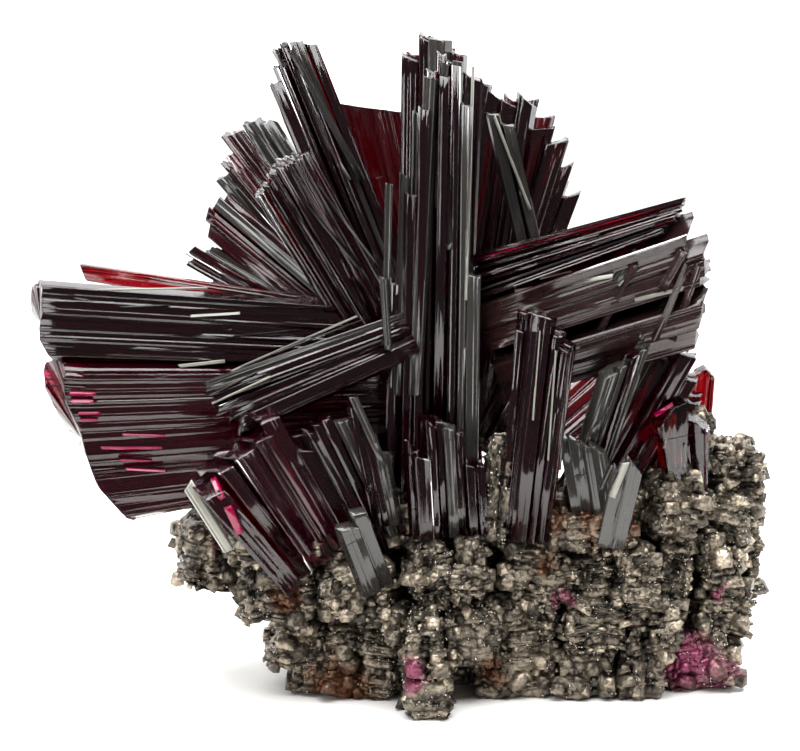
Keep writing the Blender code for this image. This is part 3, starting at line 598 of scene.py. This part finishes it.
def bundle(row, draw):
    """A spray of laths side by side and in layers."""
    name, root, tip, spread, depth, ends, roll, slant, side, layers, uneven, painted_sheen, _ = row
    root, tip = np.array(root), np.array(tip)
    line = unit(tip - root)
    across = turned(unit(np.cross(FRONT, line)), line, roll)
    inward = np.cross(line, across)
    column, layer = (a.ravel() for a in np.meshgrid(np.arange(side), np.arange(layers)))
    count = len(column)
    place = (column + 0.5) / side - 0.5 + draw.uniform(-0.12, 0.12, count) / side
    place = np.clip(place, -0.47, 0.47)
    level = (layer + 0.5) / layers - 0.5
    sink = level * depth * 0.62 + draw.uniform(-0.09, 0.09, count) * depth
    centres = (np.arange(len(ends)) + 0.5) / len(ends) - 0.5
    reach = np.interp(place, centres, ends) - draw.uniform(0.0, 1.0, count) * uneven
    short = draw.random(count) < 0.16
    reach -= short * draw.uniform(1.0, 5.0, count) * uneven
    low = root + across * (place * spread[0])[:, None] + inward * sink[:, None]
    high = tip + across * (place * spread[1])[:, None] + inward * sink[:, None]
    high = low + (high - low) * reach[:, None]
    wide = spread[1] / side * draw.uniform(0.50, 0.80, count)
    deep = depth / layers * draw.uniform(0.40, 0.54, count)
    axes = np.array([turned(across, line, angle) for angle in draw.normal(0, 6, count)])
    slope = np.tan(np.radians(slant * draw.uniform(0.6, 1.5, count))) * wide
    drops = np.stack([np.zeros(count), slope * 2], axis=1)
    drops -= drops.min(axis=1, keepdims=True)
    strips = max(4, min(10, int(spread[1] / side / 0.09)))
    made = laths(draw, low, high, axes, wide, deep, drops, 0.016, (strips, 1, strips))
    # A share of the laths takes the grey finish, a painted reflection.
    painted_sheen_mask = (draw.random(count) < painted_sheen).astype(int)
    return [(made, painted_sheen_mask)]


def details(rows, draw):
    """The single laths of a spray, each a flat striated bar with a slanted end."""
    sets = []
    for foot, head, wide, finish in rows:
        foot, head = np.array(foot), np.array(head)
        across = unit(np.cross(FRONT, unit(head - foot)))
        deep = 0.07 + 0.12 * wide
        slant = draw.uniform(0.0, 0.8) * wide
        drops = np.array([[0.0, slant]])[:, ::draw.choice((-1, 1))]
        made = laths(draw, foot[None], head[None], across[None], np.array([wide / 2]),
                     np.array([deep]), drops, 0.008, (max(1, int(wide / 0.12)), 1, 1))
        sets.append((made, DETAIL_FINISHES[finish]))
    return sets


def make_sprays():
    """Every spray as one piece in place of its solid."""
    # Finishes after a spray's own: painted grey reflection, painted highlight, painted magenta glow
    # and rose-brown.
    extra = [PAINTED_SHEEN_CRYSTAL, PAINTED_HIGHLIGHT_CRYSTAL, PAINTED_GLOW_CRYSTAL, ROSE_CRYSTAL]
    for number, row in enumerate(SPRAYS):
        draw = np.random.default_rng(400 + number)
        material, slot = FINISHES[row[-1]]
        sets = single_blade(row, draw) if row[8] == 1 else bundle(row, draw)
        sets += details(DETAILS.get(row[0], ()), draw)
        join_laths(row[0] + "_laths", sets, [material] + extra, (row[0],))


# Blocks of the layered rock: middle, size along X, Y and Z, heading and dip in degrees,
# thickness of its plates, how square it is, which part of the rock it belongs to.
BLOCKS = (
    ((-4.9, -2.7, 4.3), (3.0, 4.0, 2.4), 4, 3, 0.26, 7, "left"),
    ((-1.7, -3.1, 4.6), (3.0, 3.6, 2.1), -5, -3, 0.3, 7, "left"),
    ((0.1, -4.0, 3.3), (1.1, 2.6, 1.1), -8, 6, 0.5, 7, "left"),
    ((-0.9, -3.4, 3.2), (2.0, 2.6, 0.7), 3, 0, 0.3, 7, "left"),
    ((-4.1, -2.2, 2.0), (2.6, 3.4, 1.8), 8, 6, 0.17, 7, "left"),
    ((-1.5, -2.5, 1.52), (3.2, 3.6, 3.16), -4, 4, 0.18, 7, "left"),
    ((-2.2, -1.8, 0.57), (4.7, 3.4, 1.26), 2, 3, 0.3, 7, "left"),
    ((-4.9, -3.1, 6.1), (3.8, 3.6, 0.8), 3, 2, 0.16, 7, "left"),
    ((-2.3, -2.5, 5.9), (3.3, 3.0, 1.0), -4, -4, 0.2, 7, "left"),
    ((1.1, -4.0, 5.6), (1.8, 2.8, 2.2), 5, -3, 0.22, 7, "front"),
    ((2.7, -4.3, 5.5), (1.6, 2.8, 2.1), -6, 2, 0.24, 7, "front"),
    ((1.2, -3.9, 4.2), (1.1, 2.2, 1.1), 10, 0, 0.4, 7, "front"),
    ((2.7, -3.5, 3.8), (1.3, 2.2, 1.0), 0, 4, 0.3, 7, "front"),
    ((2.7, -3.9, 2.6), (2.6, 2.6, 2.2), 6, -8, 0.5, 7, "front"),
    ((0.9, -5.4, 2.9), (1.8, 2.4, 2.0), -4, 2, 0.24, 7, "front"),
    ((1.0, -5.7, 1.05), (1.8, 2.4, 2.21), 6, 0, 0.26, 7, "front"),
    ((4.6, -2.7, 6.8), (2.3, 3.2, 1.7), 5, 2, 0.3, 7, "front"),
    ((6.6, -3.0, 6.9), (2.1, 3.2, 1.6), -4, -3, 0.4, 7, "front"),
    ((8.4, -3.2, 6.6), (2.0, 3.2, 1.7), -8, -6, 0.4, 7, "front"),
    ((5.1, -3.1, 5.1), (2.3, 2.8, 2.1), 4, 4, 0.2, 7, "front"),
    ((7.3, -2.8, 4.8), (2.4, 2.8, 1.8), -6, -3, 0.16, 7, "front"),
    ((9.2, -3.1, 4.8), (1.9, 2.8, 2.2), 5, 4, 0.18, 7, "front"),
    ((4.9, -3.0, 3.2), (3.1, 2.8, 1.9), -3, -2, 0.15, 7, "front"),
    ((7.6, -3.2, 3.1), (2.8, 2.8, 2.0), 6, 3, 0.17, 7, "front"),
    ((10.0, -2.9, 2.9), (2.3, 2.8, 2.0), -5, -4, 0.22, 7, "front"),
    ((4.5, -2.6, 1.12), (3.5, 2.8, 2.36), 4, 2, 0.2, 7, "front"),
    ((7.4, -2.8, 0.99), (2.8, 2.8, 2.11), -4, -2, 0.34, 7, "front"),
    ((9.5, -2.7, 1.02), (2.0, 2.8, 2.16), 4, 2, 0.4, 7, "front"),
    ((10.6, -2.4, 7.5), (2.3, 3.2, 2.3), 14, 10, 0.5, 7, "right"),
    ((13.4, 0.5, 8.5), (2.4, 4.2, 2.0), 6, -4, 0.26, 7, "right"),
    ((13.2, 0.0, 6.9), (2.4, 4.2, 2.0), -6, 3, 0.3, 7, "right"),
    ((12.8, -0.7, 5.2), (2.0, 4.0, 2.2), 4, -2, 0.3, 7, "right"),
    ((14.4, 1.2, 5.4), (1.0, 4.0, 4.1), 0, 0, 0.24, 7, "right"),
    ((12.8, -0.5, 3.1), (2.7, 4.0, 2.2), 6, 4, 0.26, 7, "right"),
    ((12.1, -1.0, 1.12), (3.2, 3.8, 2.36), -6, -6, 0.34, 7, "right"),
    ((11.0, -2.0, 5.2), (1.8, 3.2, 2.4), -10, 5, 0.2, 7, "right"),
    ((11.9, -0.9, 9.8), (1.0, 2.6, 2.3), 8, 0, 0.26, 7, "right"),
    ((3.8, -3.1, 7.3), (1.8, 2.6, 1.6), 5, 0, 0.3, 7, "front"),
    ((0.2, -3.0, 7.2), (1.9, 2.6, 1.8), -8, 0, 0.3, 7, "front"),
    ((2.0, -3.0, 7.2), (2.1, 2.4, 1.9), 6, 0, 0.28, 7, "front"),
    ((-7.8, 0.4, 5.0), (2.6, 3.2, 2.6), 14, 8, 0.22, 7, "left"),
    ((4.0, 1.3, 3.1), (13.6, 7.6, 6.6), 0, 0, 0.45, 7, "back"),
    ((-1.4, 0.9, 3.9), (7.4, 6.6, 4.8), 8, 4, 0.40, 7, "left"),
    ((11.4, 1.8, 4.6), (4.8, 5.4, 7.8), -4, -6, 0.40, 7, "right"),
    ((2.6, -0.8, 6.8), (8.0, 5.2, 1.8), 0, 3, 0.34, 7, "back"),
    ((7.4, -0.6, 6.9), (5.0, 4.0, 1.8), 4, -3, 0.34, 7, "back"),
    ((3.2, 6.6, 3.6), (10.3, 5.2, 3.4), -3, -4, 0.30, 7, "back"),
    ((1.8, 6.4, 1.1), (8.4, 4.4, 2.2), 5, 2, 0.26, 7, "back"),
    ((9.2, 6.0, 4.4), (5.2, 4.6, 4.6), 10, 5, 0.28, 7, "right"),
    ((-3.4, 5.0, 4.4), (4.6, 4.8, 3.6), -10, -5, 0.26, 7, "left"),
    ((3.0, 4.8, 6.4), (7.6, 4.8, 2.2), 6, -3, 0.30, 7, "back"),
    ((3.75, -4.3, 8.6), (1.7, 1.5, 4.2), 0, 4, 0.60, 2.3, "front"),
)
# Iron stain and pink crust on the rock: middle and reach
RUST = (((5.5, -4.0, 7.4), 1.3), ((7.8, -4.0, 7.5), 1.5), ((9.0, -4.4, 7.2), 0.9),
        ((5.7, -4.6, 5.6), 0.7), ((-2.4, -3.6, 0.3), 1.8), ((11.9, -2.6, 10.0), 1.0),
        ((3.6, -4.4, 1.2), 1.0), ((-4.4, -4.4, 4.2), 0.8), ((2.0, 8.0, 3.0), 2.0))
BLOOM = (((11.4, -2.8, 1.3), 1.6), ((12.9, -2.0, 0.9), 1.4), ((12.8, -2.8, 4.0), 0.5),
         ((6.4, -4.4, 4.2), 0.6), ((9.8, -4.4, 7.6), 0.5), ((0.3, -6.9, 1.8), 0.9),
         ((-7.0, -1.4, 5.6), 0.7), ((6.0, 8.6, 2.4), 1.2), ((14.2, 3.0, 3.0), 1.2))
COLUMN_WIDTH = 0.15
CAP_RINGS = 6


def stepped(draw, length, cell, low, high):
    """A value for each column that stays level over uneven cells of about cell columns."""
    jump = draw.random(length) < 1.0 / max(cell, 1.0)
    group = np.cumsum(jump)
    return draw.uniform(low, high, group[-1] + 1)[group]


def block_outline(size, columns, square):
    """Even places round a rounded rectangle, as x and y, with outward directions."""
    angle = np.linspace(0, 2 * math.pi, 1441)
    bulge = (np.abs(np.cos(angle)) ** square + np.abs(np.sin(angle)) ** square) ** (-1 / square)
    x, y = np.cos(angle) * bulge * size[0] / 2, np.sin(angle) * bulge * size[1] / 2
    walked = np.concatenate([[0], np.cumsum(np.hypot(np.diff(x), np.diff(y)))])
    at = np.arange(columns) / columns * walked[-1]
    x, y = np.interp(at, walked, x), np.interp(at, walked, y)
    out = np.stack([np.roll(y, -1) - np.roll(y, 1), np.roll(x, 1) - np.roll(x, -1)], -1)
    return np.stack([x, y], -1), unit(out)


def rumple(points, size, seed, waves=9):
    """Smooth uneven values over space, about -1 to 1: a sum of sines with random
    directions, wavelengths near size and random phases."""
    draw = np.random.default_rng(seed)
    directions = unit(draw.normal(size=(waves, 3))) * 2 * math.pi / size
    directions *= draw.uniform(0.6, 1.6, (waves, 1))
    phases = draw.uniform(0, 2 * math.pi, waves)
    return np.sin(points @ directions.T + phases).sum(axis=-1) / math.sqrt(waves)


def layered_block(draw, middle, size, heading, dip, pitch, square):
    """A block of plates: each plate is a rounded rectangle whose rim steps in and out
    over uneven cells; plates share the larger chips, narrow towards top and bottom,
    follow one wavy bedding plane, and the whole surface is rumpled and cracked. Planes
    at random leans then cut off corners, as flat broken faces.
    Returns rings by columns points and how pale each of them is: a random tone for the block,
    darkened as painted shade in notches, cracks, seams between plates, fine splits and where the
    block narrows at top and bottom, and a little paler on raised lumps and on cut faces.
    """
    columns = int(np.clip(2 * (size[0] + size[1]) / COLUMN_WIDTH, 60, 220))
    rim, out = block_outline(size, columns, square)
    plates = max(3, round(size[2] / pitch))
    edges = np.cumsum(np.exp(draw.normal(0, 0.65, plates)))
    edges = np.concatenate([[0], edges])
    edges = (edges / edges[-1] - 0.5) * size[2]
    shared = stepped(draw, columns, 13, 0.0, 0.18)
    crack = np.zeros(columns)
    for _ in range(4):
        crack += 0.22 * (np.abs(np.arange(columns) - draw.integers(0, columns)) < 1.5)
    rings, painted_shade_rings = [], []
    walk = 0.0
    for index in range(plates):
        walk = np.clip(walk + draw.normal(0, 0.07), -0.08, 0.16)
        thick = edges[index + 1] - edges[index]
        if draw.random() < 0.25:
            shared = stepped(draw, columns, 13, 0.0, 0.18)
            crack = np.roll(crack, draw.integers(-4, 5))
        bite = stepped(draw, columns, 6, 0.0, 0.06)
        notch = stepped(draw, columns, 8, -1.8, 1.0).clip(0) * 0.14
        groove = min(0.07, thick * 0.35)
        inner = max(1, round(thick / 0.21))
        for share in np.linspace(0, 1, inner + 2):
            z = edges[index] + thick * share
            edge_sink = groove * (abs(share - 0.5) * 2) ** 6
            pillow = 0.11 * min(size) * abs(2 * z / size[2]) ** 5
            rough = draw.normal(0, 0.012, columns)
            inset = shared + bite + notch + crack + walk + pillow + edge_sink + rough
            flat = rim - out * inset[:, None]
            rings.append(np.concatenate([flat, np.full((columns, 1), z)], axis=1))
            # A weighted measure of how far each point sinks into a notch, crack, plate seam or
            # narrowing end, kept only to paint shade there.
            painted_shade_rings.append(notch + crack + edge_sink * 2 + pillow * 0.3)
    top = rings[-1]
    caps = []
    for share in np.linspace(1, 0, CAP_RINGS + 1)[1:-1] ** 0.9:
        ring = top.copy()
        ring[:, :2] *= share
        ring[:, 2] = edges[-1] + 0.05 + 0.06 * stepped(draw, columns, 4, -1, 1) * share
        caps.append(ring)
    points = np.array([rings[0] * (0.5, 0.5, 1.0)] + rings + caps)
    points[..., 2] += (0.08 * np.sin(points[..., 0] * 1.7 + draw.uniform(0, 6))
                       + 0.07 * np.sin(points[..., 1] * 2.1 + draw.uniform(0, 6)))
    outward = np.concatenate([np.broadcast_to(out, points.shape[:2] + (2,)),
                              np.zeros(points.shape[:2] + (1,))], axis=-1).copy()
    outward[len(rings) + 1:] = UP
    seed = int(draw.integers(0, 10000))
    bulk = rumple(points, 1.5, seed) * 0.10
    lumps = rumple(points * (1, 1, 1.6), 0.55, seed + 1, 14)
    fine = rumple(points * (1, 1, 1.8), 0.24, seed + 2, 18)
    split = -0.10 * np.clip(1 - np.abs(rumple(points * (1, 1, 0.7), 1.3, seed + 3)) / 0.10, 0, 1)
    height = bulk + 0.050 * lumps + 0.030 * fine + split
    points += outward * height[..., None]
    painted_shade = np.zeros(points.shape[:2])
    painted_shade[1:len(rings) + 1] = painted_shade_rings
    # Painted shade: the block's random tone is darkened by how far each point sinks into a notch,
    # crack, plate seam or narrowing end, and in the fine splits.
    pale = draw.uniform(0.70, 1.15) - 2.0 * painted_shade + 5.0 * split + 0.10 * lumps
    half = np.array(size) / 2
    for _ in range(12):
        facing = unit(draw.normal(size=3))
        share = draw.uniform(0.72, 0.88) + 0.26 * (np.abs(facing).max() ** 2 - 1 / 3)
        beyond = np.clip(points @ facing - np.abs(facing) @ half * share, 0, None)
        points -= beyond[..., None] * facing * 0.92
        pale += 0.12 * (beyond > 0.02)
    turn, lean = math.radians(heading), math.radians(dip)
    tilt = np.array(((math.cos(lean), 0, math.sin(lean)), (0, 1, 0),
                     (-math.sin(lean), 0, math.cos(lean))))
    spin = np.array(((math.cos(turn), -math.sin(turn), 0),
                     (math.sin(turn), math.cos(turn), 0), (0, 0, 1)))
    return points @ (spin @ tilt).T + np.array(middle), np.clip(pale, 0.12, 1.4)


def nearness(points, spots):
    """How near points are to any of some spots: one at a spot, nothing past its reach."""
    best = np.zeros(len(points))
    for middle, reach in spots:
        away = np.linalg.norm(points - np.array(middle), axis=1) / reach
        best = np.maximum(best, np.clip(1.35 - away, 0, 1))
    return best


def mark_piece(piece, points, tone):
    """Gives a rock piece its tone, rust and bloom attributes; the tone of blocks also holds painted
    shade in their cracks, notches and plate seams.
    """
    for name, values in (("tone", tone), ("rust", nearness(points, RUST)),
                         ("bloom", nearness(points, BLOOM))):
        layer = piece.data.attributes.new(name, "FLOAT", "POINT")
        layer.data.foreach_set("value", values.astype(np.float32))


def grains(draw, spots, low, high):
    """Small eight-sided grains, each an octahedron stretched and turned at random."""
    count = len(spots)
    corners = np.array(((1, 0, 0), (0, 1, 0), (-1, 0, 0), (0, -1, 0), (0, 0, 1), (0, 0, -1)))
    faces = np.array(((0, 1, 4), (1, 2, 4), (2, 3, 4), (3, 0, 4),
                      (1, 0, 5), (2, 1, 5), (3, 2, 5), (0, 3, 5)))
    turns = np.linalg.qr(draw.normal(size=(count, 3, 3)))[0]
    turns *= np.sign(np.linalg.det(turns))[:, None, None]
    sizes = draw.uniform(low, high, (count, 1)) * draw.uniform(0.45, 1.0, (count, 3))
    points = np.einsum("nij,cj,nj->nci", turns, corners.astype(float), sizes)
    points += spots[:, None, :]
    return points.reshape(-1, 3), (faces[None] + np.arange(count)[:, None, None] * 6).reshape(-1, 3)


def chips(draw, spots):
    """Thin broken plates of six uneven sides, half sunk in the rock and lying roughly
    along its bedding: a hexagon with uneven corners, its upper side smaller than its lower.
    Returns points, quads, triangles and how pale each point is."""
    count = len(spots)
    angle = (np.arange(6) + draw.uniform(-0.35, 0.35, (count, 6))) * math.pi / 3
    reach = np.minimum(np.exp(draw.normal(-1.45, 0.45, (count, 1))), 0.62)
    long = draw.uniform(0.55, 1.0, (count, 1))
    radius = reach * draw.uniform(0.72, 1.15, (count, 6))
    thick = np.clip(reach * draw.uniform(0.25, 0.75, (count, 1)), 0.05, 0.24)
    low = np.stack([radius * np.cos(angle), radius * np.sin(angle) * long,
                    -thick + 0 * radius], axis=-1)
    high = low * (0.8, 0.8, -1.0) + (draw.uniform(-0.1, 0.1, (count, 1, 3)) * reach[..., None])
    ends = np.stack([low.mean(1), high.mean(1) + (0, 0, 0.01)], axis=1)
    shape = np.concatenate([low, high, ends], axis=1)
    up = unit(draw.normal(size=(count, 3)) * (0.35, 0.35, 0.1) + UP)
    side = unit(np.cross(up, draw.normal(size=(count, 3))))
    axes = np.stack([side, np.cross(up, side), up], axis=1)
    points = np.einsum("nci,nij->ncj", shape, axes) + spots[:, None, :]
    points[..., 2] = np.maximum(points[..., 2], 0.0)
    quads, triangles = loft_faces(count, 2, 6)
    tone = np.repeat(np.clip(np.exp(draw.normal(-0.25, 0.65, count)), 0.10, 2.0), 14)
    return points.reshape(-1, 3), quads, triangles, tone


def make_rock():
    """The rock's blocks in four pieces, with the chips and grains that stand out of them."""
    parts = {}
    seats = []
    for number, (*form, part) in enumerate(BLOCKS):
        draw = np.random.default_rng(900 + number)
        size, square = form[1], form[-1]
        shape, pale = layered_block(draw, *form)
        shape[..., 2] = np.maximum(shape[..., 2], 0.0)
        rings, columns = shape.shape[:2]
        poles = np.stack([shape[0].mean(0), shape[-1].mean(0)])
        quads, triangles = loft_faces(1, rings, columns)
        # The block's pale values, painted shade included, become its tone; its bottom pole gets 0.5
        # and its top pole 0.8.
        tone = np.concatenate([pale.ravel(), [0.5, 0.8]])
        parts.setdefault(part, []).append((np.concatenate([shape.reshape(-1, 3), poles]),
                                           quads, triangles, tone))
        outer = shape[1:].reshape(-1, 3)
        area = 2 * (size[0] + size[1]) * size[2] + size[0] * size[1]
        seats.append(outer[draw.integers(0, len(outer), int(area * 9))])
        if square > 3:
            spots = outer[draw.integers(0, len(outer), int(area * 3.6))]
            spots = spots[spots[:, 2] > 0.3]
            parts[part].append(chips(draw, spots + draw.normal(0, 0.03, spots.shape)))
    for part, blocks in parts.items():
        points, quads, triangles, tones, start = [], [], [], [], 0
        for block_points, block_quads, block_triangles, tone in blocks:
            points.append(block_points)
            tones.append(tone)
            quads.append(block_quads + start)
            triangles.append(block_triangles + start)
            start += len(block_points)
        points = np.concatenate(points)
        piece = add_mesh("rock_" + part, points, np.concatenate(quads),
                         np.concatenate(triangles), [ROCK], ("matrix",))
        mark_piece(piece, points, np.concatenate(tones))
    seats = np.concatenate(seats)
    seats = seats[seats[:, 2] > 0.12]
    draw = np.random.default_rng(77)
    rusty = nearness(seats, RUST) > draw.random(len(seats)) * 0.8 + 0.1
    no_quads = np.zeros((0, 4), int)
    for name, spots, material, sizes in (
            ("ore_grains", seats[~rusty], ORE_GRAINS, (0.03, 0.10)),
            ("rusty_grains", seats[rusty], RUST_GRAINS, (0.04, 0.12))):
        points, triangles = grains(draw, spots, *sizes)
        points[:, 2] = np.maximum(points[:, 2], 0.0)
        add_mesh(name, points, no_quads, triangles, [material], ("matrix",))


def aim(thing, spot, target):
    """Puts a camera or light at spot, looking at target, both in metres."""
    view = np.array(target) - np.array(spot)
    thing.location = spot
    pitch = math.atan2(math.hypot(view[0], view[1]), -view[2])
    thing.rotation_euler = (pitch, 0.0, math.atan2(view[1], view[0]) - math.pi / 2)


def add_camera():
    """The photograph's view: a 100 mm lens, 90 mm away, looking down by 8 degrees."""
    target = (np.array((0.0, 0.0, 12.4)) + PLACE) * MM
    tilt = math.radians(8.0)
    spot = target + 0.090 * np.array((0.0, -math.cos(tilt), math.sin(tilt)))
    data = bpy.data.cameras.new("view")
    data.lens = 100.0
    data.sensor_width = 36.0
    data.clip_start = 0.001
    data.clip_end = 20.0
    camera = bpy.data.objects.new("view", data)
    bpy.context.scene.collection.objects.link(camera)
    aim(camera, spot, target)
    bpy.context.scene.camera = camera


def add_panel(name, spot, size, power, target=(0.0, 0.0, 0.012)):
    """A soft square light."""
    data = bpy.data.lights.new(name, "AREA")
    data.shape = "RECTANGLE"
    data.size, data.size_y = size
    data.energy = power
    lamp = bpy.data.objects.new(name, data)
    bpy.context.scene.collection.objects.link(lamp)
    aim(lamp, spot, target)
    lamp.visible_camera = False


def add_stage():
    """A pale floor, a bright room behind the specimen and a dim one in front of it."""
    mesh = bpy.data.meshes.new("floor")
    corners = [(-0.6, -0.024, 0), (0.6, -0.024, 0), (0.6, 0.9, 0), (-0.6, 0.9, 0)]
    mesh.from_pydata(corners, [], [(0, 1, 2, 3)])
    floor = bpy.data.objects.new("floor", mesh)
    bpy.context.scene.collection.objects.link(floor)
    material, tree, output = blank_material("pale_floor")
    shader = node(tree, "ShaderNodeBsdfPrincipled",
                  {"Base Color": linear("f4f3f0"), "Roughness": 0.8})
    tree.links.new(shader.outputs["BSDF"], output.inputs["Surface"])
    mesh.materials.append(material)
    world = bpy.data.worlds.new("studio")
    bpy.context.scene.world = world
    world.use_nodes = True
    tree = world.node_tree
    tree.nodes.clear()
    place = node(tree, "ShaderNodeTexCoord")
    axes = node(tree, "ShaderNodeSeparateXYZ", links={"Vector": place.outputs["Generated"]})
    glow = node(tree, "ShaderNodeMapRange",
                {"interpolation_type": "SMOOTHSTEP", "From Min": -0.25, "From Max": 0.45,
                 "To Min": 0.12, "To Max": 2.4}, {"Value": axes.outputs["Y"]})
    sky = node(tree, "ShaderNodeBackground", {"Color": (1.0, 1.0, 1.0, 1.0)},
               {"Strength": glow.outputs["Result"]})
    output = node(tree, "ShaderNodeOutputWorld", links={"Surface": sky.outputs["Background"]})
    add_panel("left_panel", (-0.13, -0.20, 0.06), (0.08, 0.18), 0.23)
    add_panel("top_panel", (0.0, -0.03, 0.22), (0.28, 0.24), 1.6)
    bpy.context.scene.view_settings.view_transform = "Standard"


add_camera()
add_stage()
make_sprays()
make_rock()
